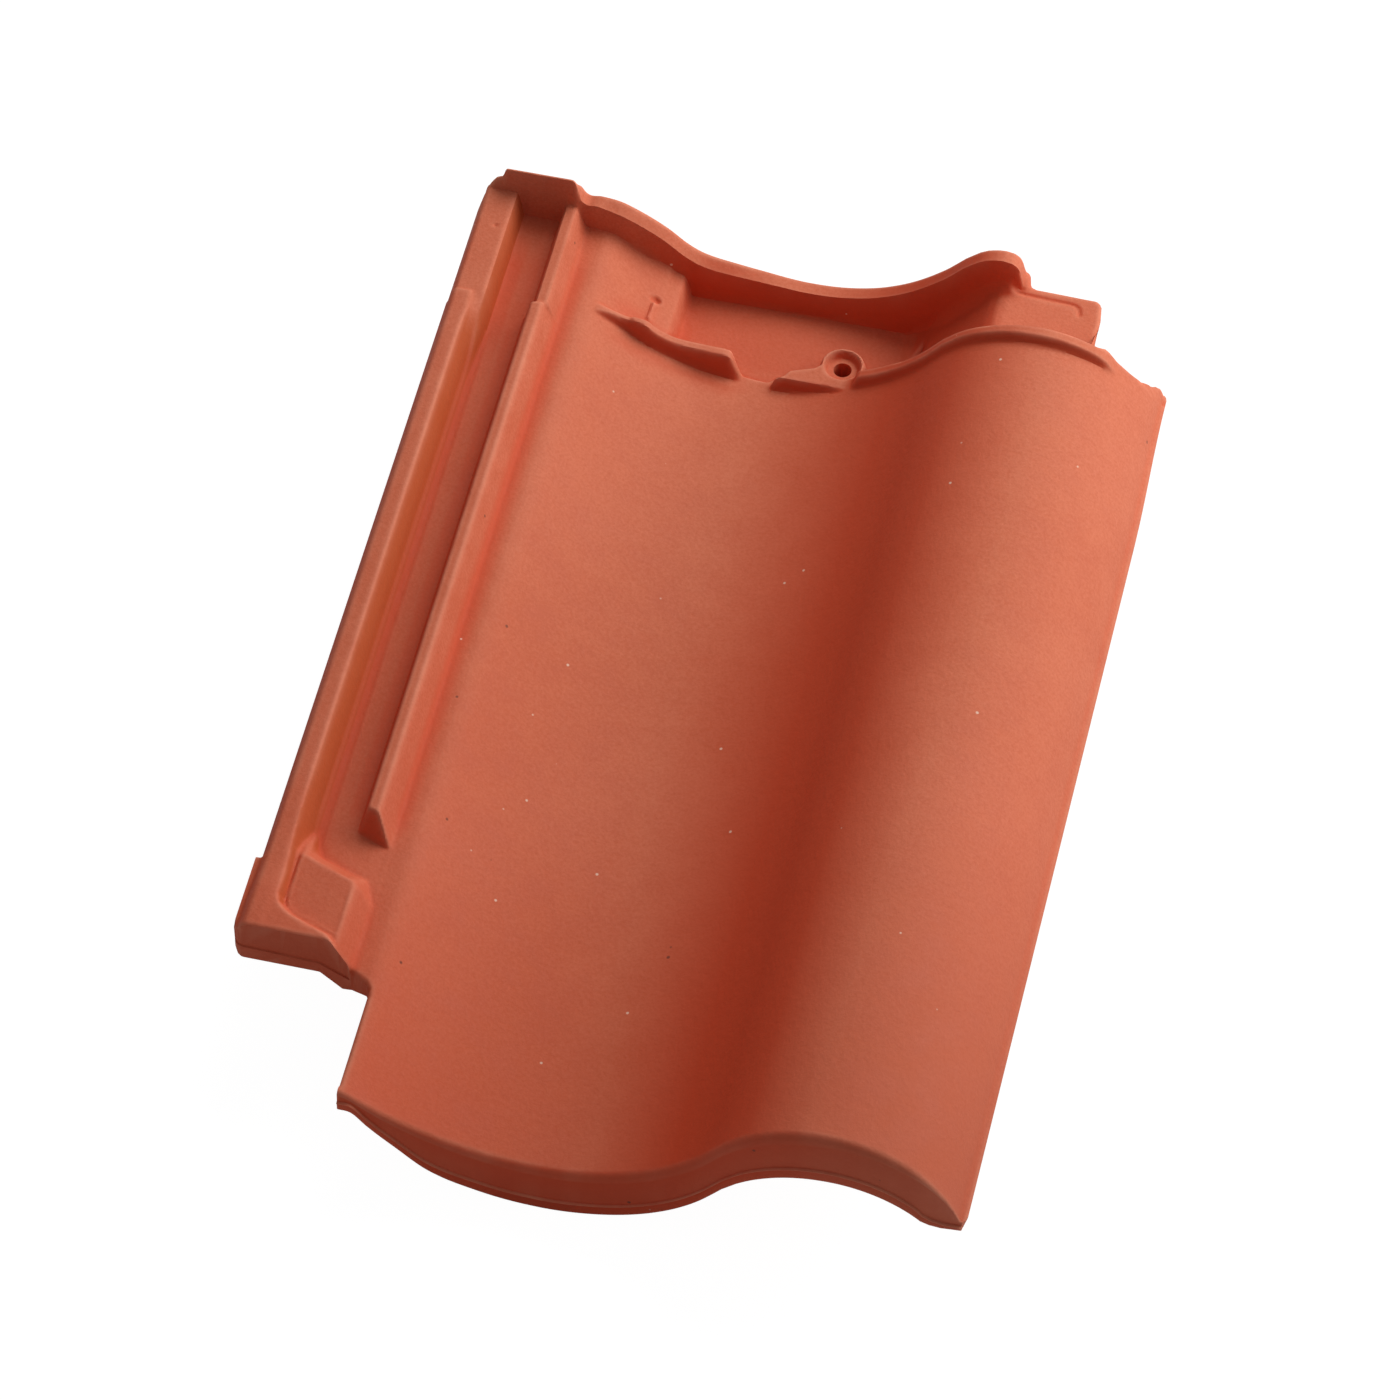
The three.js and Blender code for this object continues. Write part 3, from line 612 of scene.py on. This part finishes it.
def buildSheet():            # the tile as one closed skin, before its corners are cut
    xs = stations(body["side"], body["right"], grid["xSteps"], grid["xFeatures"])
    rows = noseRows(xs)
    for y in stations(grid["yStart"], body["head"], grid["ySteps"], grid["yFeatures"]):
        rows.append((xs, y, upper(xs, np.full(xs.shape, y))))
    ys = stations(grid["underStart"], body["head"], grid["underSteps"], grid["underFeatures"])
    for y in ys[::-1]:
        across = np.full(xs.shape, y)
        lx, lz = lower(xs, across)
        rows.append((lx, y, np.minimum(lz, upper(xs, across) - under["leastThickness"])))
    points = np.array([np.column_stack([x, np.broadcast_to(y, x.shape), z]) for x, y, z in rows])
    x, y = points[..., 0], points[..., 1]        # both are views, so the points move with them
    reach = 1 - ramp(x, body["left"], body["left"] + lock["sideReach"])
    x += reach * lock["sideStep"] * ease(y, *lock["sideStepY"])
    x -= body["narrowing"] * ease(y, *body["narrowingY"]) * ramp(x, *body["narrowingX"])
    return points


def skinMesh(points):
    count, width = points.shape[:2]
    index = np.arange(count * width).reshape(count, width)
    following = np.roll(index, -1, axis=0)
    corners = [index[:, :-1], index[:, 1:], following[:, 1:], following[:, :-1]]
    faces = np.stack(corners, axis=-1).reshape(-1, 4).tolist()
    faces += [index[:, 0].tolist(), index[::-1, -1].tolist()]
    mesh = bpy.data.meshes.new("roofTileSkin")
    mesh.from_pydata(toRow(points.reshape(-1, 3)).tolist(), [], faces)
    return mesh


def addObject(name, data):
    thing = bpy.data.objects.new(name, data)
    bpy.context.scene.collection.objects.link(thing)
    return thing


def rework(mesh, *steps):    # runs each step on an editable copy, and keeps the result
    work = bmesh.new()
    work.from_mesh(mesh)
    for step in steps:
        step(work)
    work.to_mesh(mesh)
    work.free()


def turnOutwards(work):
    bmesh.ops.recalc_face_normals(work, faces=work.faces)


def splitOver(corners):      # a step that splits the faces with more corners than this
    def split(work):
        bmesh.ops.triangulate(work, faces=[f for f in work.faces if len(f.verts) > corners])
    return split


def prism(name, plan, bottom):           # a cutting tool over a plan, whose bottom may follow x
    n = len(plan)
    base = along([x for x, _ in plan], bottom) if isinstance(bottom, list) else [bottom] * n
    points = [(x, y, z) for (x, y), z in zip(plan, base)] + [(x, y, cutTop) for x, y in plan]
    faces = [list(range(n))[::-1], list(range(n, 2 * n))]
    faces += [[i, (i + 1) % n, n + (i + 1) % n, n + i] for i in range(n)]
    mesh = bpy.data.meshes.new(name)
    mesh.from_pydata(toRow(points).tolist(), [], faces)
    rework(mesh, turnOutwards, splitOver(3))
    return addObject(name, mesh)


def applyBoolean(target, tool, operation):
    modifier = target.modifiers.new("cut", "BOOLEAN")
    modifier.operation = operation
    modifier.solver = "MANIFOLD"
    modifier.object = tool
    bpy.context.view_layer.objects.active = target
    bpy.ops.object.modifier_apply(modifier=modifier.name)
    bpy.data.objects.remove(tool, do_unlink=True)


nibs = {
    "centres": [28.0, 110.0],
    "width": 26.0,
    "tailY": 369.0,
    "length": 14.0,
    "draft": 2.0,
    "bevel": 0.0018,         # in metres
    "bevelSteps": 3,
}


def buildNib(x):
    half, draft = nibs["width"] / 2, nibs["draft"]
    y0, y1 = nibs["tailY"], nibs["tailY"] + nibs["length"]
    low = body["nosetip"]
    root = float(along(np.array([x]), head["recess"])[0]) - under["headThickness"] / 2
    points = [(x - half + draft, y0, low), (x + half - draft, y0, low),
              (x + half - draft, y1 - draft, low), (x - half + draft, y1 - draft, low),
              (x - half, y0, root), (x + half, y0, root),
              (x + half, y1, root), (x - half, y1, root)]
    faces = [(3, 2, 1, 0), (4, 5, 6, 7), (0, 1, 5, 4), (1, 2, 6, 5), (2, 3, 7, 6), (3, 0, 4, 7)]
    mesh = bpy.data.meshes.new("nib")
    mesh.from_pydata(toRow(points).tolist(), [], faces)
    overFoot = toRow([(0, 0, low + 1)])[0][2]

    def bevelFoot(work):     # all edges but those at the root
        edges = [e for e in work.edges if not all(v.co.z > overFoot for v in e.verts)]
        bmesh.ops.bevel(work, geom=edges, offset=nibs["bevel"], segments=nibs["bevelSteps"],
                        affect="EDGES")

    rework(mesh, bevelFoot, turnOutwards)
    return addObject("nib", mesh)


def circle(x, y, r, count):
    turns = [2 * math.pi * i / count for i in range(count)]
    return [(x + r * math.cos(turn), y + r * math.sin(turn)) for turn in turns]


def buildTile():
    tile = addObject("clayTile", skinMesh(buildSheet()))
    rework(tile.data, splitOver(4), turnOutwards)
    print("skin", len(tile.data.polygons))
    for name, plan in outline.items():
        applyBoolean(tile, prism(name, plan, cutBottom), "DIFFERENCE")
    applyBoolean(tile, prism("tailWall", tailWall["plan"], tailWall["parting"]), "DIFFERENCE")
    print("outline cut", len(tile.data.polygons))
    for x in nibs["centres"]:
        applyBoolean(tile, buildNib(x), "UNION")
    bore = circle(nail["x"], nail["y"], nail["bore"], nail["boreSides"])
    applyBoolean(tile, prism("nailBore", bore, cutBottom), "DIFFERENCE")
    tile.data.polygons.foreach_set("use_smooth", [True] * len(tile.data.polygons))
    tile.data.set_sharp_from_angle(angle=math.radians(body["smoothAngle"]))
    print("tile", sum(len(p.vertices) - 2 for p in tile.data.polygons), "triangles")
    return tile


tile = buildTile()
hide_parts("roof_tile")
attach(tile, "root")

# ---- fired clay, with painted shade and a painted edge highlight ----
wearAndShade = {
    "leastSpan": 0.00015,    # in metres
    "edgeBend": 600,         # bends, per metre, at which the masks are full
    "creaseBend": 500,
    "smoothing": 2,
    "around": 9,             # a hollow is measured against places this far away
    "directions": 8,
    "deep": 7,
    "skin": 3,               # places deeper than this are not on the weather side
    "hollowX": 172,
    "xLast": 206,
    "xInside": (-50, 205),
    "yInside": (1, 387),
}
clay = {
    "deep": (0.59, 0.130, 0.058, 1),
    "pale": (0.67, 0.185, 0.098, 1),
    "paintedShade": (0.60, 0.062, 0.018, 1),    # painted shade, redder: faces to tail and lock side, the tail end, hollows and the recess
    "steepShade": (0.47, 0.078, 0.012, 1),    # painted shade on steep slopes of the lock that face the roll, beside a floor
    "rollTailShade": (0.45, 0.105, 0.05, 1),      # painted shade: the roll's tail end is darker, as the light falls off there
    "edge": (0.78, 0.29, 0.18, 1),       # rubbed edges, partly a painted highlight on the edges
    "lime": (0.86, 0.62, 0.48, 1),       # small pale grains
    "soot": (0.16, 0.05, 0.03, 1),       # small dark grains
    "specular": 0.24,
    "roughness": (0.62, 0.85),
    "bump": 0.45,
    "bumpHeight": 0.0004,
}
clayNoise = {                # scale, detail, roughness
    "cloud": (9, 4, 0.5),
    "mottle": (75, 4, 0.6),
    "pores": (320, 3, 0.5),
    "fine": (900, 3, 0.7),
}
tone = {                     # how much each noise adds to the colour, and their range together
    "cloud": 0.35,
    "mottle": 0.25,
    "fine": 0.4,
    "range": (0.4, 0.6),
    "mottleRange": (0.3, 0.7),
    "fineBump": 0.6,
}
places = {                   # from, to, share at from, share at to; lengths in metres
    # side: painted shade on faces turned away from the lamps
    "side": (-0.04, 0.38, 0.0, 1.0),
    "sideTail": (0, 1, 0.85, 1.0),
    "sideLock": (-0.085, -0.05, 0.7, 1.0),
    "toTail": (0.02, -0.19, 0.0, 1.0),   # painted shade: the tail end, farther from the lamps, is the redder one
    # sunk and recess: painted shade in hollows and in the deep recess
    "sunk": (0.03, 0.8, 0.0, 0.8),
    "sunkHead": (0.165, 0.185, 1.0, 0.45),
    "recessY": (0.154, 0.16, 0.0, 1.0),
    "recessZ": (0.023, 0.019, 0.0, 0.4),
    "wallY": (0.165, 0.185, 0.0, 1.0),   # the wall over the lock gets less of the painted shade
    "wallX": (-0.05, -0.07, 0.0, 0.75),
    # steep: painted shade on steep lock slopes that face the roll
    "steep": (0.6, 0.85, 0.0, 0.75),
    "steepLock": (-0.106, -0.1, 1.0, 0.0),
    # rollTail: painted shade at the roll's tail end
    "rollTailY": (-0.05, -0.19, 0.0, 1.0),
    "rollTailX": (0.05, 0.1, 0.0, 0.55),
    # rubbed edges, partly a painted highlight on the edges
    "rubbedAndHighlit": (0.3, 0.7, 0.3, 0.7),
}
shadedSide = (-0.62, -0.78, 0.0)            # painted shade: faces turned away from the lamps, to the tail and the lock side, are redder
# how much painted shade goes to the tail end, and into creases
tailShadeShare, creaseShadeShare = 0.42, 0.3
clayGrains = {               # scale, size, how many cells hold one, strength
    "lime": (170, 0.11, 0.05, 0.75),
    "soot": (120, 0.09, 0.04, 0.8),
}
grainCore = 0.6              # a grain has its full strength out to this share of its size


def edgeBends(mesh):         # how sharply the surface bends at each vertex
    work = bmesh.new()
    work.from_mesh(mesh)
    bend, weight = np.zeros(len(work.verts)), np.zeros(len(work.verts))
    for edge in work.edges:
        if len(edge.link_faces) == 2:
            one, two = edge.link_faces
            span = (one.calc_center_median() - two.calc_center_median()).length
            sharpness = edge.calc_face_angle_signed(0.0) / max(span, wearAndShade["leastSpan"])
            for vertex in edge.verts:
                bend[vertex.index] += sharpness * edge.calc_length()
                weight[vertex.index] += edge.calc_length()
    work.free()
    bend = bend / np.maximum(weight, 1e-9)
    edges = np.empty(len(mesh.edges) * 2, int)
    mesh.edges.foreach_get("vertices", edges)
    a, b = edges.reshape(-1, 2).T
    for _ in range(wearAndShade["smoothing"]):
        total, number = bend.copy(), np.ones(len(bend))
        for here, there in ((a, b), (b, a)):
            np.add.at(total, here, bend[there])
            np.add.at(number, here, 1)
        bend = total / number
    return bend


def hollowDepths(mesh):      # how far each place lies under its surroundings
    flat = np.empty(len(mesh.vertices) * 3)
    mesh.vertices.foreach_get("co", flat)
    x, y, z = (flat.reshape(-1, 3) * perMetre - origin).T
    x, y = np.clip(x, body["side"], wearAndShade["xLast"]), np.clip(y, *wearAndShade["yInside"])
    around = 0
    for i in range(wearAndShade["directions"]):
        turn = i * 2 * math.pi / wearAndShade["directions"]
        aroundX = np.clip(x + wearAndShade["around"] * math.cos(turn), *wearAndShade["xInside"])
        aroundY = np.clip(y + wearAndShade["around"] * math.sin(turn), *wearAndShade["yInside"])
        around = around + upperRaw(aroundX, aroundY) / wearAndShade["directions"]
    weatherSide = z > upperRaw(x, y) - wearAndShade["skin"]
    return np.where(weatherSide & (x < wearAndShade["hollowX"]), around - z, 0)


def wearAndShadeMasks(mesh):         # kept on the mesh for the material: rubbed and highlit edges, painted shade in creases and hollows
    bend, depth = edgeBends(mesh), hollowDepths(mesh)
    for name, values in (("edgeWearAndHighlight", bend / wearAndShade["edgeBend"]),
                         ("crease", -bend / wearAndShade["creaseBend"]), ("hollow", depth / wearAndShade["deep"])):
        values = np.clip(values, 0, 1)
        mesh.attributes.new(name, "FLOAT", "POINT").data.foreach_set("value", values)
        print("mask", name, round(float(values.mean()), 3))


def clayMaterial():
    material = bpy.data.materials.new("firedClay")
    material.use_nodes = True
    nodes, links = material.node_tree.nodes, material.node_tree.links
    shader = nodes["Principled BSDF"]
    shader.inputs["Specular IOR Level"].default_value = clay["specular"]
    place = nodes.new("ShaderNodeTexCoord")

    def feed(socket, value):             # with a link or a plain value
        if hasattr(value, "is_linked"):
            links.new(value, socket)
        else:
            socket.default_value = value

    def noise(name):
        node = nodes.new("ShaderNodeTexNoise")
        for part, value in zip(("Scale", "Detail", "Roughness"), clayNoise[name]):
            node.inputs[part].default_value = value
        links.new(place.outputs["Object"], node.inputs["Vector"])
        return node.outputs["Fac"]

    def combine(operation, one, two):
        node = nodes.new("ShaderNodeMath")
        node.operation = operation
        feed(node.inputs[0], one)
        feed(node.inputs[1], two)
        return node.outputs[0]

    def times(one, two):
        return combine("MULTIPLY", one, two)

    def remap(value, low, high, toLow=0.0, toHigh=1.0):
        node = nodes.new("ShaderNodeMapRange")
        for name, number in (("From Min", low), ("From Max", high), ("To Min", toLow),
                             ("To Max", toHigh)):
            node.inputs[name].default_value = number
        links.new(value, node.inputs["Value"])
        return node.outputs["Result"]

    def blend(share, one, two):
        node = nodes.new("ShaderNodeMix")
        node.data_type = "RGBA"
        for socket, value in ((0, share), (6, one), (7, two)):       # the factor and both colours
            feed(node.inputs[socket], value)
        return node.outputs[2]

    def mask(name):
        node = nodes.new("ShaderNodeAttribute")
        node.attribute_name = name
        return node.outputs["Fac"]

    def split(output):
        node = nodes.new("ShaderNodeSeparateXYZ")
        links.new(place.outputs[output], node.inputs["Vector"])
        return node.outputs

    def grains(name):        # sparse round grains
        scale, size, share, strength = clayGrains[name]
        node = nodes.new("ShaderNodeTexVoronoi")
        node.inputs["Scale"].default_value = scale
        links.new(place.outputs["Object"], node.inputs["Vector"])
        cell = nodes.new("ShaderNodeSeparateColor")
        links.new(node.outputs["Color"], cell.inputs["Color"])
        near = remap(node.outputs["Distance"], size * grainCore, size, 1, 0)
        return times(times(near, combine("GREATER_THAN", cell.outputs["Red"], 1 - share)), strength)

    cloud, mottle, fine = noise("cloud"), noise("mottle"), noise("fine")
    small = combine("ADD", times(mottle, tone["mottle"]), times(fine, tone["fine"]))
    shade = combine("ADD", times(cloud, tone["cloud"]), small)
    colour = blend(remap(shade, *tone["range"]), clay["deep"], clay["pale"])
    facing = nodes.new("ShaderNodeVectorMath")
    facing.operation = "DOT_PRODUCT"
    facing.inputs[1].default_value = shadedSide
    links.new(place.outputs["Normal"], facing.inputs[0])
    spot, normal = split("Object"), split("Normal")

    def at(axis, name):
        return remap(spot[axis], *places[name])

    # painted shade: redder on faces turned from the lamps, towards the tail, in hollows and in the
    # recess, and less on the wall over the lock
    toTail = at("Y", "toTail")
    side = remap(facing.outputs["Value"], *places["side"])
    side = times(times(side, remap(toTail, *places["sideTail"])), at("X", "sideLock"))
    sunk = times(remap(mask("hollow"), *places["sunk"]), at("Y", "sunkHead"))
    paintedShade = combine("MAXIMUM", combine("MAXIMUM", side, sunk), times(toTail, tailShadeShare))
    paintedShade = combine("MAXIMUM", paintedShade, times(at("Y", "recessY"), at("Z", "recessZ")))
    wall = times(at("Y", "wallY"), at("X", "wallX"))
    paintedShade = times(paintedShade, combine("SUBTRACT", 1.0, wall))
    colour = blend(paintedShade, colour, clay["paintedShade"])
    # painted shade on steep lock slopes that face the roll
    steep = times(remap(normal["X"], *places["steep"]), at("X", "steepLock"))
    colour = blend(steep, colour, clay["steepShade"])
    # painted shade in creases
    colour = blend(times(mask("crease"), creaseShadeShare), colour, clay["paintedShade"])
    # painted shade at the roll's tail end
    colour = blend(times(at("Y", "rollTailY"), at("X", "rollTailX")), colour, clay["rollTailShade"])
    # rubbed edges, partly a painted highlight on the edges
    rubbedAndHighlit = times(mask("edgeWearAndHighlight"), remap(mottle, *places["rubbedAndHighlit"]))
    colour = blend(rubbedAndHighlit, colour, clay["edge"])
    for name in clayGrains:
        colour = blend(grains(name), colour, clay[name])
    links.new(colour, shader.inputs["Base Color"])
    roughness = remap(mottle, *tone["mottleRange"], *clay["roughness"])
    links.new(roughness, shader.inputs["Roughness"])
    bump = nodes.new("ShaderNodeBump")
    bump.inputs["Strength"].default_value = clay["bump"]
    bump.inputs["Distance"].default_value = clay["bumpHeight"]
    links.new(combine("ADD", times(fine, tone["fineBump"]), noise("pores")), bump.inputs["Height"])
    links.new(bump.outputs["Normal"], shader.inputs["Normal"])
    return material


wearAndShadeMasks(tile.data)
tile.data.materials.clear()
tile.data.materials.append(clayMaterial())

# ---- camera ----
lens = {
    "elevation": 53.0,
    "turn": 13.06,           # the tile is turned this far clockwise
    "distance": 2310.0,      # from the mould's zero point, in millimetres
    "width": 1400,           # of the view, in pixels
    "pixels": 7037.0,        # focal length, in pixels
    "corner": (350.0, 1100.0),           # where the mould's zero point shows in the view
    "sensor": 36,
}


def addCamera():
    e, a = math.radians(lens["elevation"]), math.radians(lens["turn"])
    right = Vector((math.cos(a), math.sin(a), 0))
    ahead = Vector((-math.sin(a), math.cos(a), 0))
    up = Vector((0, 0, 1))
    view = math.cos(e) * ahead - math.sin(e) * up
    above = math.sin(e) * ahead + math.cos(e) * up
    across, down = [(pixel - lens["width"] / 2) / lens["pixels"] for pixel in lens["corner"]]
    ray = view + across * right - down * above
    spot = Vector(toRow([(0, 0, 0)])[0]) - ray * lens["distance"] / perMetre
    data = bpy.data.cameras.new("camera")
    data.sensor_fit = "HORIZONTAL"
    data.sensor_width = lens["sensor"]
    data.lens = lens["pixels"] / lens["width"] * lens["sensor"]
    camera = addObject("camera", data)
    turn = Matrix((right, above, -view)).transposed().to_4x4()
    camera.matrix_world = Matrix.Translation(spot) @ turn
    bpy.context.scene.camera = camera


# ---- floor and light ----
studio = {
    "floorWhite": 0.8,
    "floorHalf": 4,
    "floorDrop": 0.0002,     # keeps the floor clear of the tile's feet
    "white": 1.12,           # how bright the camera sees the floor
    "shadowShare": 0.13,     # how much of the floor's own shade it sees
    "worldLight": 0.245,
}
lamps = {                    # place, size, watts
    "rightLamp": ((1.0, 0.6, 0.6), 0.8, 9.0),
    "backLamp": ((0.3, 0.9, 1.05), 0.9, 10.0),
}


def floorMaterial():
    material = bpy.data.materials.new("paleFloor")
    material.use_nodes = True
    nodes, links = material.node_tree.nodes, material.node_tree.links
    nodes.clear()
    matt = nodes.new("ShaderNodeBsdfDiffuse")
    matt.inputs["Color"].default_value = (studio["floorWhite"],) * 3 + (1,)
    white = nodes.new("ShaderNodeEmission")
    white.inputs["Strength"].default_value = studio["white"]
    blend = nodes.new("ShaderNodeMixShader")
    path = nodes.new("ShaderNodeLightPath")
    seen = nodes.new("ShaderNodeMath")
    seen.operation = "MULTIPLY"
    seen.inputs[1].default_value = 1 - studio["shadowShare"]
    out = nodes.new("ShaderNodeOutputMaterial")
    links.new(path.outputs["Is Camera Ray"], seen.inputs[0])
    links.new(seen.outputs[0], blend.inputs["Fac"])
    links.new(matt.outputs[0], blend.inputs[1])
    links.new(white.outputs[0], blend.inputs[2])
    links.new(blend.outputs[0], out.inputs["Surface"])
    return material


def addFloor():
    half = studio["floorHalf"]
    mesh = bpy.data.meshes.new("floor")
    corners = [(-half, -half, 0), (half, -half, 0), (half, half, 0), (-half, half, 0)]
    mesh.from_pydata(corners, [], [(0, 1, 2, 3)])
    mesh.materials.append(floorMaterial())
    floor = addObject("floor", mesh)
    floor.location.z = -studio["floorDrop"]


def addLight():
    world = bpy.data.worlds.new("studio")
    bpy.context.scene.world = world
    world.use_nodes = True
    nodes, links = world.node_tree.nodes, world.node_tree.links
    back = nodes["Background"]
    back.inputs["Color"].default_value = (1, 1, 1, 1)
    path = nodes.new("ShaderNodeLightPath")
    strength = nodes.new("ShaderNodeMix")
    strength.data_type = "FLOAT"
    strength.inputs[2].default_value = studio["worldLight"]
    strength.inputs[3].default_value = 1.0       # the camera sees plain white
    links.new(path.outputs["Is Camera Ray"], strength.inputs[0])
    links.new(strength.outputs[0], back.inputs["Strength"])
    for name, (place, size, watts) in lamps.items():
        data = bpy.data.lights.new(name, "AREA")
        data.shape = "RECTANGLE"
        data.size = data.size_y = size
        data.energy = watts
        lamp = addObject(name, data)
        lamp.location = place
        lamp.rotation_euler = (-Vector(place)).to_track_quat("-Z", "Y").to_euler()


addCamera()
addFloor()
addLight()
bpy.context.scene.view_settings.view_transform = "Standard"
print("camera, floor and light")

bpy.context.view_layer.update()
print("ready")
